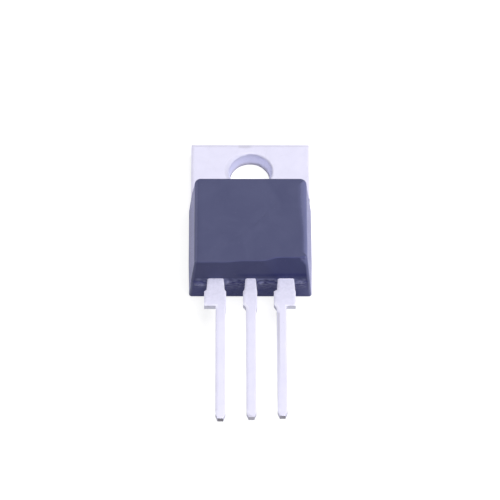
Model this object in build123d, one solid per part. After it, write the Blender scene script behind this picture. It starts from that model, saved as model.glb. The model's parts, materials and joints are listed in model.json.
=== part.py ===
from build123d import *
from math import hypot, radians, tan
import os

# Thyristor in a three-lead power package with an isolated mounting tab.
# Frame: X across the package, Y from the lead tips towards the top of the tab, Z from the
# mounting face towards the front of the moulding.  The origin is on the axis of the screw
# hole, at the mounting face.  All sizes are in millimetres.

# ---------------------------------------------------------------- driving sizes
# Mounting tab, a punched copper plate
tab_width = 10.16
tab_thickness = 1.37
tab_above_hole = 2.86            # hole axis to the tab's top edge
hole_diameter = 3.70
tab_edge_roll = 0.10             # rounding that the punch leaves along the front edges
ledge_inset = 0.63               # tab side to the side of the part inside the moulding
ledge_overhang = 0.35            # epoxy hooks under this much of the plate
ledge_height = 0.45
pad_end_margin = 0.20            # copper that shows past the insulator's lead end
groove_width = 0.40              # moisture groove across the plate, under the epoxy
groove_depth = 0.15

# Epoxy moulding
body_below_hole = 2.98           # hole axis to the foot of the moulding's top wall
body_length = 9.59               # foot of the top wall to the parting edge at the leads
body_height = 4.65               # mounting face to the front face
side_flash = 0.12                # moulding is this much wider than the tab on each side
back_recess = 0.04               # epoxy on the back lies this much behind the copper
side_draft = 6.1                 # degrees
top_draft = 7.0
end_draft_front = 6.8
end_draft_back = 4.2
top_corner_radius = 0.42
end_corner_radius = 0.30
front_edge_radius = 0.13

# Lead frame, punched from one strip
lead_thickness = 0.50
lead_width = 0.82
lead_pitch = 2.54
shoulder_start = 1.28            # moulding to the stub of the dam bar
shoulder_end = 2.76              # moulding to where the narrow part starts
shoulder_step = 0.18             # length of the sloped step from root to shoulder
root_flare = 0.08                # each root edge is this much further in at the moulding
nick_rise = 0.15                 # sloped shoulder corner, above and below the shoulder's end
nick_fall = 0.22
fade_length = 0.65               # where a shoulder hardly wider than the lead runs out
tip_width = 0.47
tip_taper = 0.45
cathode_length = 14.07
anode_length = 13.93
gate_length = 13.81
cathode_root_outer = 1.17        # lead centre line to the root's edges, and so on
cathode_root_inner = 0.34
cathode_shoulder_outer = 1.37
cathode_shoulder_inner = 0.47
anode_root_left = 0.54
anode_root_right = 0.49
anode_shoulder_left = 0.66
anode_shoulder_right = 0.52
gate_root_inner = 0.37
gate_root_outer = 1.15
gate_shoulder_inner = 0.63
gate_shoulder_outer = 1.19

# Lead frame inside the moulding
post_length = 2.00
post_cover = 0.67                # epoxy between a bond post and the lead-end wall
post_side_cover = 1.00
post_gap = 0.78                  # bond post to the anode lead, and to the paddle
lock_notch_radius = 0.20         # half-round notches that the epoxy fills

# Insulator stack between tab and paddle
stack_cover = 0.86               # epoxy above the insulator, under the top wall
solder_thickness = 0.05
foil_thickness = 0.16
ceramic_thickness = 0.50
ceramic_side_inset = 0.65        # plate inside the moulding to the ceramic
ceramic_margin = 0.30            # bare ceramic round the foil
foil_margin = 0.35               # foil round the paddle

# Chip and its wires
chip_size = 2.60
chip_thickness = 0.25
chip_solder_margin = 0.08
moat_width = 0.22
moat_depth = 0.10
cathode_wire_diameter = 0.38
gate_wire_diameter = 0.20
gate_pad_inset = 0.35            # inner edge of the moat to the gate bond
wire_foot = 1.60                 # flat stretch at each bond, in wire diameters
wire_seat = 0.35                 # wire axis above its pad, in wire diameters
loop_share = 0.50                # how far a loop rises into the epoxy over the chip
crest_share = 0.38               # where along the wire the loop is highest

# ---------------------------------------------------------------- worked-out places
foil_stack = 2 * solder_thickness + 2 * foil_thickness + ceramic_thickness
lead_plane = tab_thickness + foil_stack
lead_top = lead_plane + lead_thickness
chip_base = lead_top + solder_thickness
chip_top = chip_base + chip_thickness

body_top_y = -body_below_hole
body_end_y = body_top_y - body_length
body_half_base = tab_width / 2 + side_flash

ledge_half = tab_width / 2 - ledge_inset
pad_half = ledge_half - ledge_overhang

ceramic_width = 2 * (ledge_half - ceramic_side_inset)
foil_width = ceramic_width - 2 * ceramic_margin
paddle_width = foil_width - 2 * foil_margin
paddle_top_y = body_top_y - stack_cover - ceramic_margin - foil_margin
post_low_y = body_end_y + post_cover
post_high_y = post_low_y + post_length
paddle_low_y = post_high_y + post_gap
paddle_length = paddle_top_y - paddle_low_y
foil_length = paddle_length + 2 * foil_margin
ceramic_length = foil_length + 2 * ceramic_margin
chip_y = (paddle_top_y + paddle_low_y) / 2
pad_end_y = chip_y - ceramic_length / 2 - pad_end_margin

cathode_x = -lead_pitch
gate_x = lead_pitch


def body_half(z):
    """Half width of the moulding at a height."""
    return body_half_base - z * tan(radians(side_draft))


def plate(width, length, y, z, thickness):
    """Flat rectangular layer centred on X = 0, with its lower face at z."""
    centre = Location((0, y, z + thickness / 2))
    return centre * Box(width, length, thickness)


def punched(points, z, thickness):
    """Flat piece with a polygonal outline, standing on z."""
    outline = Polyline(*points, close=True)
    return Pos(0, 0, z) * extrude(make_face(outline), thickness)


# ---------------------------------------------------------------- tab
def tab():
    """Copper plate: full width outside, narrower with an undercut inside the moulding."""
    outside_length = tab_above_hole - body_top_y
    outside = plate(tab_width, outside_length, (tab_above_hole + body_top_y) / 2, 0, tab_thickness)
    front_edges = outside.edges().filter_by_position(Axis.Z, tab_thickness, tab_thickness)
    rolled = front_edges.filter_by(lambda edge: edge.center().Y > body_top_y + tab_edge_roll)
    outside = fillet(rolled, tab_edge_roll)

    root_y = body_top_y / 2                      # both inner layers start well inside the plate
    ledge_y = (root_y + pad_end_y) / 2
    ledge_length = root_y - pad_end_y
    ledge = plate(2 * ledge_half, ledge_length, ledge_y, ledge_height, tab_thickness - ledge_height)
    pad_length = ledge_length - ledge_overhang
    pad = plate(2 * pad_half, pad_length, root_y - pad_length / 2, 0, ledge_height)

    groove_y = body_top_y - stack_cover / 2
    groove = Polygon(
        (groove_y - groove_width / 2, tab_thickness),
        (groove_y, tab_thickness - groove_depth),
        (groove_y + groove_width / 2, tab_thickness),
        align=None,
    )
    groove = extrude(Plane.YZ * groove, tab_width, both=True)
    hole = Cylinder(hole_diameter / 2, 4 * tab_thickness)
    drilled = outside + ledge + pad - groove - hole
    rim = drilled.edges().filter_by(GeomType.CIRCLE).sort_by(Axis.Z)[-1]
    return fillet(rim, tab_edge_roll)


# ---------------------------------------------------------------- leads
def lead_side(root, shoulder, rise, fall, length, inner_y):
    """One side of a lead as (distance from its centre line, y), from inner_y to the tip."""
    start = body_end_y - shoulder_start
    end = body_end_y - shoulder_end
    tip = body_end_y - length
    half = lead_width / 2
    return [
        (root - root_flare, inner_y),
        (root - root_flare, body_end_y),
        (root, start + shoulder_step),
        (shoulder, start),
        (shoulder, end + rise),
        (half, end - fall),
        (half, tip + tip_taper),
        (tip_width / 2, tip),
    ]


def lead_outline(x, left_side, right_side):
    """Closed outline of a lead on the centre line x."""
    left = [(x - distance, y) for distance, y in left_side]
    right = [(x + distance, y) for distance, y in right_side]
    return right + left[::-1]


def notches(places):
    """Half-round lock notches centred on the edges of a lead."""
    tools = [Pos(x, y, lead_plane) * Cylinder(lock_notch_radius, 4 * lead_thickness) for x, y in places]
    return Part() + tools


def post_sides(side):
    """Distances from X = 0 to the near and far side of a bond post; side is -1 or 1."""
    root = anode_root_left if side < 0 else anode_root_right
    return root - root_flare + post_gap, body_half(lead_top) - post_side_cover


def post_middle(side):
    """X of a bond post's centre line."""
    near, far = post_sides(side)
    return side * (near + far) / 2


def bond_post(side):
    """Wide inner end of an outer lead, where its wires are bonded."""
    near, far = post_sides(side)
    y = post_low_y + post_length / 2
    centre = Pos(post_middle(side), y, lead_plane + lead_thickness / 2)
    post = centre * Box(far - near, post_length, lead_thickness)
    return post - notches([(side * far, y)])


def lead_cathode():
    """Left lead: a wide sheared stub outside, a shoulder that fades out inside."""
    inner_y = post_low_y + post_length / 4
    outer = lead_side(cathode_root_outer, cathode_shoulder_outer, 0, 0, cathode_length, inner_y)
    inner = lead_side(
        cathode_root_inner, cathode_shoulder_inner, 0, fade_length, cathode_length, inner_y,
    )
    strip = punched(lead_outline(cathode_x, outer, inner), lead_plane, lead_thickness)
    return strip + bond_post(-1)


def lead_gate():
    """Right lead: a nicked shoulder inside, a wide sheared stub outside."""
    inner_y = post_low_y + post_length / 4
    inner = lead_side(
        gate_root_inner, gate_shoulder_inner, nick_rise, nick_fall, gate_length, inner_y,
    )
    outer = lead_side(gate_root_outer, gate_shoulder_outer, 0, 0, gate_length, inner_y)
    strip = punched(lead_outline(gate_x, inner, outer), lead_plane, lead_thickness)
    return strip + bond_post(1)


def lead_anode():
    """Middle lead, in one piece with the paddle that carries the chip."""
    inner_y = paddle_low_y + foil_margin
    left = lead_side(
        anode_root_left, anode_shoulder_left, nick_rise, nick_fall, anode_length, inner_y,
    )
    right = lead_side(
        anode_root_right, anode_shoulder_right, 0, fade_length, anode_length, inner_y,
    )
    strip = punched(lead_outline(0, left, right), lead_plane, lead_thickness)
    paddle = plate(paddle_width, paddle_length, chip_y, lead_plane, lead_thickness)
    lock_y = post_low_y + post_length / 2
    lock_left = -(anode_root_left - root_flare)
    lock_right = anode_root_right - root_flare
    return strip + paddle - notches([(lock_left, lock_y), (lock_right, lock_y)])


# ---------------------------------------------------------------- insulator stack
def insulator_layers():
    """Solder, foil, ceramic, foil and solder, from the tab up to the lead plane."""
    layers = [
        ("insulator_solder_lower", foil_width, foil_length, solder_thickness),
        ("insulator_foil_lower", foil_width, foil_length, foil_thickness),
        ("insulator_ceramic", ceramic_width, ceramic_length, ceramic_thickness),
        ("insulator_foil_upper", foil_width, foil_length, foil_thickness),
        ("insulator_solder_upper", foil_width, foil_length, solder_thickness),
    ]
    made = {}
    z = tab_thickness
    for name, width, length, thickness in layers:
        made[name] = plate(width, length, chip_y, z, thickness)
        z += thickness
    return made


# ---------------------------------------------------------------- chip
def moat_ring():
    """Square ring round the chip's top edge, where the junctions come to the surface."""
    z = chip_top - moat_depth
    inside = chip_size - 2 * moat_width
    outer = plate(chip_size, chip_size, chip_y, z, moat_depth)
    return outer - plate(inside, inside, chip_y, z, moat_depth)


def thyristor_chip():
    return plate(chip_size, chip_size, chip_y, chip_base, chip_thickness) - moat_ring()


def chip_solder():
    size = chip_size + 2 * chip_solder_margin
    return plate(size, size, chip_y, lead_top, solder_thickness)


# ---------------------------------------------------------------- bond wires
def corner_radii(points):
    """Bend radius at each inner point, as large as its two runs allow."""
    radii = []
    for before, here, after in zip(points, points[1:], points[2:]):
        turn = radians((here - before).get_angle(after - here))
        run = min((here - before).length, (after - here).length)
        radii.append(0.45 * run / tan(turn / 2))
    return radii


def bond_wire(start, end, diameter):
    """Wire from the chip to a bond post, with a flat foot at each end and one loop."""
    span = hypot(end[0] - start[0], end[1] - start[1])
    along = ((end[0] - start[0]) / span, (end[1] - start[1]) / span)
    seat = wire_seat * diameter
    foot = wire_foot * diameter
    crest = chip_top + loop_share * (body_height - chip_top)
    profile = [
        (0, chip_top + seat),
        (foot, chip_top + seat),
        (crest_share * span, crest),
        (span - foot, lead_top + seat),
        (span, lead_top + seat),
    ]
    points = [Vector(start[0] + s * along[0], start[1] + s * along[1], z) for s, z in profile]
    path = FilletPolyline(*points, radius=corner_radii(points))
    return sweep(Plane(path @ 0, z_dir=path % 0) * Circle(diameter / 2), path)


def bond_wires():
    """Two heavy wires to the cathode post and a thin one to the gate post."""
    reach = chip_size / 2 - moat_width
    cathode_foot_y = chip_y + reach / 2
    cathode_end_y = post_low_y + post_length / 3
    made = {}
    for name, side in (("cathode_wire_left", -1), ("cathode_wire_right", 1)):
        shift = side * reach / 3
        start = (shift, cathode_foot_y)
        end = (post_middle(-1) + shift, cathode_end_y)
        made[name] = bond_wire(start, end, cathode_wire_diameter)
    start = (reach - gate_pad_inset, chip_y - reach / 3)
    end = (post_middle(1), post_low_y + post_length / 2)
    made["gate_wire"] = bond_wire(start, end, gate_wire_diameter)
    return made


# ---------------------------------------------------------------- moulding
def moulding_form():
    """Outer form of the epoxy: drafted walls, rounded corners, soft front edges."""
    over = body_height - tab_thickness
    front_top_y = body_top_y - over * tan(radians(top_draft))
    front_end_y = body_end_y + (body_height - lead_plane) * tan(radians(end_draft_front))
    back_end_y = body_end_y + (lead_plane - back_recess) * tan(radians(end_draft_back))
    side_view = Polygon(
        (back_end_y, back_recess),
        (body_end_y, lead_plane),
        (front_end_y, body_height),
        (front_top_y, body_height),
        (body_top_y, tab_thickness),
        (body_top_y, back_recess),
        align=None,
    )
    end_view = Polygon(
        (-body_half(back_recess), back_recess),
        (body_half(back_recess), back_recess),
        (body_half(body_height), body_height),
        (-body_half(body_height), body_height),
        align=None,
    )
    side_bar = extrude(Plane.YZ * side_view, tab_width, both=True)
    end_bar = extrude(Plane.XZ * end_view, body_below_hole + 2 * body_length, both=True)
    form = side_bar & end_bar

    middle_y = (body_top_y + body_end_y) / 2
    upright = form.edges().filter_by(lambda edge: abs((edge @ 1 - edge @ 0).Z) > body_height / 10)
    top_corners = upright.filter_by(lambda edge: edge.center().Y > middle_y)
    form = fillet(top_corners, top_corner_radius)
    upright = form.edges().filter_by(lambda edge: abs((edge @ 1 - edge @ 0).Z) > body_height / 10)
    end_corners = upright.filter_by(lambda edge: edge.center().Y < middle_y)
    form = fillet(end_corners, end_corner_radius)
    front = form.faces().sort_by(Axis.Z)[-1]
    return fillet(front.edges(), front_edge_radius)


def moulding(inside):
    """Epoxy cast round everything else, so it fits each piece face to face."""
    filled = moulding_form()
    for piece in inside:
        filled = filled - piece
    return filled


# ---------------------------------------------------------------- the whole part
def thyristor():
    pieces = {
        "tab": tab(),
        "lead_cathode": lead_cathode(),
        "lead_anode": lead_anode(),
        "lead_gate": lead_gate(),
        "chip_solder": chip_solder(),
        "thyristor_chip": thyristor_chip(),
        "passivation_glass": moat_ring(),
    }
    pieces.update(insulator_layers())
    for name, wire in bond_wires().items():
        post = pieces["lead_gate"] if name == "gate_wire" else pieces["lead_cathode"]
        pieces[name] = wire - pieces["thyristor_chip"] - post
    pieces["moulding"] = moulding(list(pieces.values()))
    return pieces


os.makedirs("parts", exist_ok=True)
for node, piece in thyristor().items():
    export_step(piece, f"parts/{node}.step")
    print(f"{node:24s} {piece.volume:9.3f} mm3")
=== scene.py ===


# %% [markdown]
# # A thyristor in a through-hole power package
# The object is a dark epoxy block moulded round a tinned copper plate and three flat leads.
# Everything is small: the whole part is under three centimetres long, so a scratch or a
# rounded edge is a few hundredths of a millimetre. The construction comes ready made from a
# CAD frame. This lesson gives each visible piece a finer mesh and a finish of its own.

# %% Load the frame
import json
import math

import bmesh
import bpy
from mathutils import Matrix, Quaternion, Vector, noise
from mathutils.geometry import tessellate_polygon


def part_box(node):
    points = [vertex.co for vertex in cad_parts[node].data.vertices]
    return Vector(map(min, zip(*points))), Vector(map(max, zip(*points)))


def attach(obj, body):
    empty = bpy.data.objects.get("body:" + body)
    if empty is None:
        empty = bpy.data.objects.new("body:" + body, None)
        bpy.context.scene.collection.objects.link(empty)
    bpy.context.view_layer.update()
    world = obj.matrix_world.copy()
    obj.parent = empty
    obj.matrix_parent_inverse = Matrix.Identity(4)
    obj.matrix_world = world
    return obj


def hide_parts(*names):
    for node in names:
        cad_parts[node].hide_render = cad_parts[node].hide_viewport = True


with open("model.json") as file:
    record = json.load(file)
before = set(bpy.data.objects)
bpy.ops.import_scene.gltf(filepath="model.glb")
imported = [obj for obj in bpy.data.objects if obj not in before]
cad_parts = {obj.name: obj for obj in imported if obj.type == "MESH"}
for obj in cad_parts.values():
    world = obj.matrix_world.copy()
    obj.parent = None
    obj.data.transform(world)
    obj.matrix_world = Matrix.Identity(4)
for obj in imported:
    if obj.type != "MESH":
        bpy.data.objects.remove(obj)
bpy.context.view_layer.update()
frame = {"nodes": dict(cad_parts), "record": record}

MM = 0.001
nodes = frame["nodes"]

# %% [markdown]
# ## Measuring the frame
# New meshes have to sit exactly where the solids are. One measure is enough: the outline where
# a level plane cuts a node. It is chained together from the node's own triangles, so a change
# in the CAD moves the dressed pieces with it.


# %% Outline of a level section
def cut_segments(node, height):
    """Pairs of points where the triangles of a node cross a level plane, inside on the left."""
    mesh = nodes[node].data
    mesh.calc_loop_triangles()
    segments = []
    for triangle in mesh.loop_triangles:
        corners = [mesh.vertices[index].co for index in triangle.vertices]
        crossings = []
        for a, b in zip(corners, corners[1:] + corners[:1]):
            if (a.z > height) != (b.z > height):
                low, top = sorted((a, b), key=lambda corner: tuple(corner))
                point = low.lerp(top, (height - low.z) / (top.z - low.z))
                crossings.append((a.z > height, (round(point.x / MM, 4), round(point.y / MM, 4))))
        if len(crossings) == 2 and crossings[0][1] != crossings[1][1]:
            downward, upward = sorted(crossings, reverse=True)
            segments.append((upward[1], downward[1]))
    return segments


def ring_area(loop):
    """Area inside a closed row of points; below zero when the row is clockwise."""
    return sum(a.cross(b) for a, b in zip(loop, loop[1:] + loop[:1])) / 2


def outline_at(node, height):
    """Corner points, anticlockwise, of the largest closed outline at a height."""
    follow = dict(cut_segments(node, height))
    loops = []
    while follow:
        loop = [next(iter(follow))]
        while loop[-1] in follow:
            loop.append(follow.pop(loop[-1]))
        loops.append([Vector(place) * MM for place in loop[:-1]])
    loop = max(loops, key=lambda points: abs(ring_area(points)))
    if ring_area(loop) < 0:
        loop.reverse()
    kept = []
    for before, point, after in zip(loop[-1:] + loop[:-1], loop, loop[1:] + loop[:1]):
        if abs((point - before).normalized().cross((after - point).normalized())) > 0.002:
            kept.append(point)
    return kept


def outline_limits(points):
    """Lowest and highest X and Y of an outline."""
    xs, ys = [point.x for point in points], [point.y for point in points]
    return min(xs), max(xs), min(ys), max(ys)


lead_names = ["lead_cathode", "lead_anode", "lead_gate"]
lead_low, lead_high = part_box("lead_anode")[0].z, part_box("lead_anode")[1].z
moulding_low, moulding_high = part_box("moulding")
tab_low, tab_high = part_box("tab")
for name in lead_names + ["tab"]:
    middle = (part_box(name)[0].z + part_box(name)[1].z) / 2
    print(name, "outline corners:", len(outline_at(name, middle)))

# %% [markdown]
# ## The camera
# The part lies on its back and is seen from the lead end, fairly steeply from above, with a
# long lens that hardly bends parallel lines. Making the camera first means that every later
# step can be judged in the view that matters.


# %% Camera
def add_object(name, data):
    """New object in the scene."""
    item = bpy.data.objects.new(name, data)
    bpy.context.scene.collection.objects.link(item)
    return item


def aim_from(target, azimuth, elevation, distance, roll=0.0):
    """Camera place and turn, looking at a target from an azimuth and elevation in degrees."""
    turn, lift = math.radians(azimuth), math.radians(elevation)
    back = Vector((
        math.sin(turn) * math.cos(lift),
        -math.cos(turn) * math.cos(lift),
        math.sin(lift),
    ))
    level = (-back).to_track_quat("-Z", "Y")
    return target + back * distance, level @ Quaternion((0, 0, 1), math.radians(roll))


camera_data = bpy.data.cameras.new("view")
camera_data.sensor_width = 36
camera_data.lens = 260.5
camera = add_object("view", camera_data)
camera.rotation_mode = "QUATERNION"
camera_target = Vector((-0.04, -7.47, 0)) * MM
camera.location, camera.rotation_quaternion = aim_from(
    camera_target, azimuth=-0.65, elevation=53.18, distance=307.9 * MM, roll=0.55,
)
camera_data.clip_start = 0.01
camera_data.clip_end = 10
bpy.context.scene.camera = camera
bpy.context.scene.view_settings.view_transform = "Standard"

# %% [markdown]
# ## Floor and light
# A small plated part looks best inside a light tent: a wide soft panel overhead and behind,
# pale walls, a white floor. The panel does the shaping, because it lights what faces up and
# leaves what faces the viewer about half as bright. The floor is a matt white that also
# shows itself white to the camera, so the paper disappears and only the soft shadow stays.


# %% Small helpers for node trees
def empty_tree(owner):
    """Node tree of a material or world, without the nodes it came with."""
    owner.use_nodes = True
    owner.node_tree.nodes.clear()
    return owner.node_tree


def feed(node, inputs):
    """Sets input values of a node; an output of another node as a value makes a link."""
    for key, value in inputs.items():
        if isinstance(value, bpy.types.NodeSocket):
            node.id_data.links.new(value, node.inputs[key])
        else:
            node.inputs[key].default_value = value


def add_node(tree, kind, inputs=None, **settings):
    """New node with its settings and input values."""
    node = tree.nodes.new(kind)
    for key, value in settings.items():
        setattr(node, key, value)
    feed(node, inputs or {})
    return node


def calc(tree, operation, a, b=0.0, c=0.0):
    """Output of a Math node."""
    return add_node(tree, "ShaderNodeMath", {0: a, 1: b, 2: c}, operation=operation).outputs[0]


def blend_colors(tree, factor, a, b):
    """Output of a colour Mix node."""
    return add_node(tree, "ShaderNodeMix", {0: factor, 6: a, 7: b}, data_type="RGBA").outputs[2]


def ramp(tree, value, low, high, to_low=0.0, to_high=1.0):
    """A value taken from one range to another with soft ends."""
    return add_node(tree, "ShaderNodeMapRange", {
        "Value": value, "From Min": low, "From Max": high, "To Min": to_low, "To Max": to_high,
    }, interpolation_type="SMOOTHSTEP").outputs[0]


# %% World, light panel and floor
def make_world(fill, overhead, horizon):
    """Even fill light; what is seen of the tent is paler at the walls than overhead."""
    world = bpy.data.worlds.new("tent")
    bpy.context.scene.world = world
    tree = empty_tree(world)
    place = add_node(tree, "ShaderNodeTexCoord").outputs["Generated"]
    height = add_node(tree, "ShaderNodeSeparateXYZ", {0: place}).outputs["Z"]
    tent = ramp(tree, height, 0.05, 0.65, horizon, overhead)
    path = add_node(tree, "ShaderNodeLightPath").outputs
    seen = calc(tree, "MAXIMUM", path["Is Camera Ray"], path["Is Glossy Ray"])
    seen = calc(tree, "MAXIMUM", seen, path["Is Transmission Ray"])
    level = add_node(tree, "ShaderNodeMix", {0: seen, 2: fill, 3: tent}, data_type="FLOAT")
    light = add_node(tree, "ShaderNodeBackground", {
        "Strength": level.outputs[0], "Color": (1, 1, 1, 1),
    })
    add_node(tree, "ShaderNodeOutputWorld", {"Surface": light.outputs[0]})


def make_panel(name, place, size, power):
    """Square light panel that faces the object."""
    data = bpy.data.lights.new(name, "AREA")
    data.size = size
    data.energy = power
    panel = add_object(name, data)
    panel.location = place
    panel.rotation_mode = "QUATERNION"
    panel.rotation_quaternion = (camera_target - panel.location).to_track_quat("-Z", "Y")


def make_floor(half, albedo, shown, mirrored):
    """White floor: partly lit, so it keeps the shadow, and partly showing white by itself."""
    mesh = bpy.data.meshes.new("floor")
    corners = [(-half, -half, 0), (half, -half, 0), (half, half, 0), (-half, half, 0)]
    mesh.from_pydata(corners, [], [(0, 1, 2, 3)])
    floor = add_object("floor", mesh)
    paper = bpy.data.materials.new("floor_paper")
    mesh.materials.append(paper)
    tree = empty_tree(paper)
    matt = add_node(tree, "ShaderNodeBsdfDiffuse", {"Color": (albedo, albedo, albedo, 1)})
    path = add_node(tree, "ShaderNodeLightPath").outputs
    other = calc(tree, "MAXIMUM", path["Is Glossy Ray"], path["Is Transmission Ray"])
    own = calc(tree, "MULTIPLY", path["Is Camera Ray"], shown)
    strength = calc(tree, "MULTIPLY_ADD", other, mirrored, own)
    color = blend_colors(tree, other, (1, 1, 1, 1), (0.80, 0.82, 1.0, 1))
    shine = add_node(tree, "ShaderNodeEmission", {"Strength": strength, "Color": color})
    both = add_node(tree, "ShaderNodeAddShader", {0: matt.outputs[0], 1: shine.outputs[0]})
    add_node(tree, "ShaderNodeOutputMaterial", {"Surface": both.outputs[0]})


make_world(fill=0.17, overhead=0.60, horizon=0.80)
make_panel("overhead_panel", Vector((0.25, -0.05, 0.72)), 0.65, 6.0)
make_floor(half=2.0, albedo=0.40, shown=0.80, mirrored=0.68)

# %% [markdown]
# ## Effects shared by the finishes
# Plated copper and moulded epoxy look different, but what makes them real is alike: a fine
# grain, soft patches, hair scratches, specks and rubbed edges. Each effect is one node group
# with named inputs, so every finish can give it its own values. The groups work in
# millimetres of the part itself, which needs no unwrapping.


# %% A group with named sockets
def vector_math(tree, operation, inputs):
    """Output of a Vector Math node."""
    return add_node(tree, "ShaderNodeVectorMath", inputs, operation=operation).outputs[0]


def to_part_mm(tree, position):
    """Position in millimetres."""
    return vector_math(tree, "SCALE", {0: position, "Scale": 1 / MM})


def new_group(name, output, inputs):
    """Group with named inputs and one output: its tree, place in mm, entries and exit node."""
    tree = bpy.data.node_groups.new(name, "ShaderNodeTree")
    tree.interface.new_socket("Position", in_out="INPUT", socket_type="NodeSocketVector")
    for label, value in inputs.items():
        kind = "NodeSocketVector" if isinstance(value, tuple) else "NodeSocketFloat"
        socket = tree.interface.new_socket(label, in_out="INPUT", socket_type=kind)
        socket.default_value = value
    tree.interface.new_socket(output, in_out="OUTPUT", socket_type="NodeSocketFloat")
    entry = add_node(tree, "NodeGroupInput").outputs
    return tree, to_part_mm(tree, entry["Position"]), entry, add_node(tree, "NodeGroupOutput")


def spaced(values):
    """The same values under names with spaces, as the sockets have them."""
    return {label.replace("_", " "): value for label, value in values.items()}


def use_group(tree, group, place, **values):
    """Places a group in a tree at the part's position, and returns its output."""
    inputs = {"Position": place, **spaced(values)}
    return add_node(tree, "ShaderNodeGroup", inputs, node_tree=group).outputs[0]


# %% [markdown]
# ### Grain, patches and specks
# A mould or a roller leaves grain, handling and uneven plating leave patches, and specks are
# pits or powder. Specks need cells instead of noise, because cells can be left out one by one.

# %% Fine grain
# Even grain; Stretch above 1 along an axis packs it closer there, as in rolled metal.
tree, place, entry, leave = new_group(
    "fine_grain", "Height", {"Per mm": 10.0, "Stretch": (1, 1, 1)})
grain = add_node(tree, "ShaderNodeTexNoise", {
    "Vector": vector_math(tree, "MULTIPLY", {0: place, 1: entry["Stretch"]}),
    "Scale": entry["Per mm"], "Detail": 4.0, "Roughness": 0.6,
})
feed(leave, {"Height": grain.outputs[0]})
grain_group = tree

# %% Soft patches
# Large patches, from 0 to 1, such as uneven plating or handling.
tree, place, entry, leave = new_group("soft_patches", "Mask", {"Per mm": 0.4, "Softness": 0.25})
cloud = add_node(tree, "ShaderNodeTexNoise", {
    "Vector": place, "Scale": entry["Per mm"], "Detail": 3.0, "Roughness": 0.55, "Distortion": 0.6,
})
low = calc(tree, "SUBTRACT", 0.5, entry["Softness"])
high = calc(tree, "ADD", 0.5, entry["Softness"])
feed(leave, {"Mask": ramp(tree, cloud.outputs[0], low, high)})
patch_group = tree

# %% Specks
# Scattered small specks, 1 inside a speck; Share is about how many cells hold one.
tree, place, entry, leave = new_group("specks", "Mask", {"Per mm": 4.0, "Share": 0.2, "Size": 0.25})
cells = add_node(tree, "ShaderNodeTexVoronoi", {"Vector": place, "Scale": entry["Per mm"]}).outputs
lottery = add_node(tree, "ShaderNodeSeparateColor", {0: cells["Color"]}).outputs
chosen = calc(tree, "LESS_THAN", lottery[0], entry["Share"])
reach = calc(tree, "MULTIPLY", entry["Size"], lottery[1])
inside = ramp(tree, cells["Distance"], reach, calc(tree, "MULTIPLY", reach, 0.5))
feed(leave, {"Mask": calc(tree, "MULTIPLY", chosen, inside)})
speck_group = tree

# %% [markdown]
# ### Scratches, edge wear and edge shade
# A hair scratch is the line where a drawn-out noise crosses its middle value, broken off by
# a second noise. Edge wear, and on the tin painted edge shade, start from a mask on the mesh,
# and noise makes them as uneven as rubbing.

# %% Hair scratches
# Scratches in one rough direction, about Z, broken along their length.
tree, place, entry, leave = new_group(
    "scratches", "Mask", {"Turn": 0.0, "Per mm": 5.0, "Share": 0.08})
turned = add_node(tree, "ShaderNodeVectorRotate", {
    "Vector": place, "Angle": entry["Turn"],
}, rotation_type="Z_AXIS").outputs[0]
bend = add_node(tree, "ShaderNodeTexNoise", {
    "Vector": vector_math(tree, "MULTIPLY", {0: turned, 1: (1, 0.04, 1)}),
    "Scale": entry["Per mm"], "Detail": 1.0,
})
off_line = calc(tree, "SUBTRACT", bend.outputs[0], 0.5)
width = calc(tree, "MULTIPLY", entry["Share"], 0.12)
hair = ramp(tree, calc(tree, "ABSOLUTE", off_line), width, 0.0)
gaps = add_node(tree, "ShaderNodeTexNoise", {"Vector": turned, "Scale": 0.7})
kept = ramp(tree, gaps.outputs[0], 0.50, 0.60)
feed(leave, {"Mask": calc(tree, "MULTIPLY", hair, kept)})
scratch_group = tree

# %% Edge wear and painted edge shade
# Edge is 1 on an edge and 0 away from it, and noise breaks it up.
tree, place, entry, leave = new_group(
    "edge_wear_and_edge_shade", "Mask", {"Edge": 0.0, "Amount": 0.5, "Per mm": 3.0})
chips = add_node(tree, "ShaderNodeTexNoise", {
    "Vector": place, "Scale": entry["Per mm"], "Detail": 5.0, "Roughness": 0.65,
})
uneven = calc(tree, "ADD", chips.outputs[0], 0.5)
reach = calc(tree, "MULTIPLY", entry["Edge"], uneven)
start = calc(tree, "SUBTRACT", 1.0, entry["Amount"])
feed(leave, {"Mask": ramp(tree, reach, start, calc(tree, "ADD", start, 0.3))})
edge_wear_and_shade_group = tree
print("effect groups:", sorted(group.name for group in bpy.data.node_groups))

# %% [markdown]
# ## The finishes
# A finish is a Principled shader fed by the groups. Values that are the same all over are
# typed straight into the shader, and only what changes from place to place comes through a
# link. Masks that belong to a shape, such as its edges, are written on the mesh as it is
# built. A colour is a base in two tones and then one thin layer after another.


# %% Start of a finish
def new_finish(name, **plain):
    """Material with a Principled shader; returns material, tree, shader and part position."""
    material = bpy.data.materials.new(name)
    tree = empty_tree(material)
    shader = add_node(tree, "ShaderNodeBsdfPrincipled", spaced(plain))
    add_node(tree, "ShaderNodeOutputMaterial", {"Surface": shader.outputs[0]})
    place = add_node(tree, "ShaderNodeTexCoord").outputs["Object"]
    return material, tree, shader, place


def mesh_mask(tree, name):
    """Value that the mesh carries under a name."""
    return add_node(tree, "ShaderNodeAttribute", attribute_name=name).outputs["Fac"]


def set_bump(tree, shader, heights, depth_mm):
    """Adds up heights, each with its own share, and feeds them to the shader as a bump."""
    total = 0.0
    for height, share in heights:
        total = calc(tree, "MULTIPLY_ADD", height, share, total)
    inputs = {"Height": total, "Strength": 1.0, "Distance": depth_mm * MM}
    feed(shader, {"Normal": add_node(tree, "ShaderNodeBump", inputs).outputs[0]})


def spread_value(tree, mask, low, high):
    """A mask from 0 to 1 taken to a narrower range."""
    return calc(tree, "MULTIPLY_ADD", mask, high - low, low)


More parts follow.
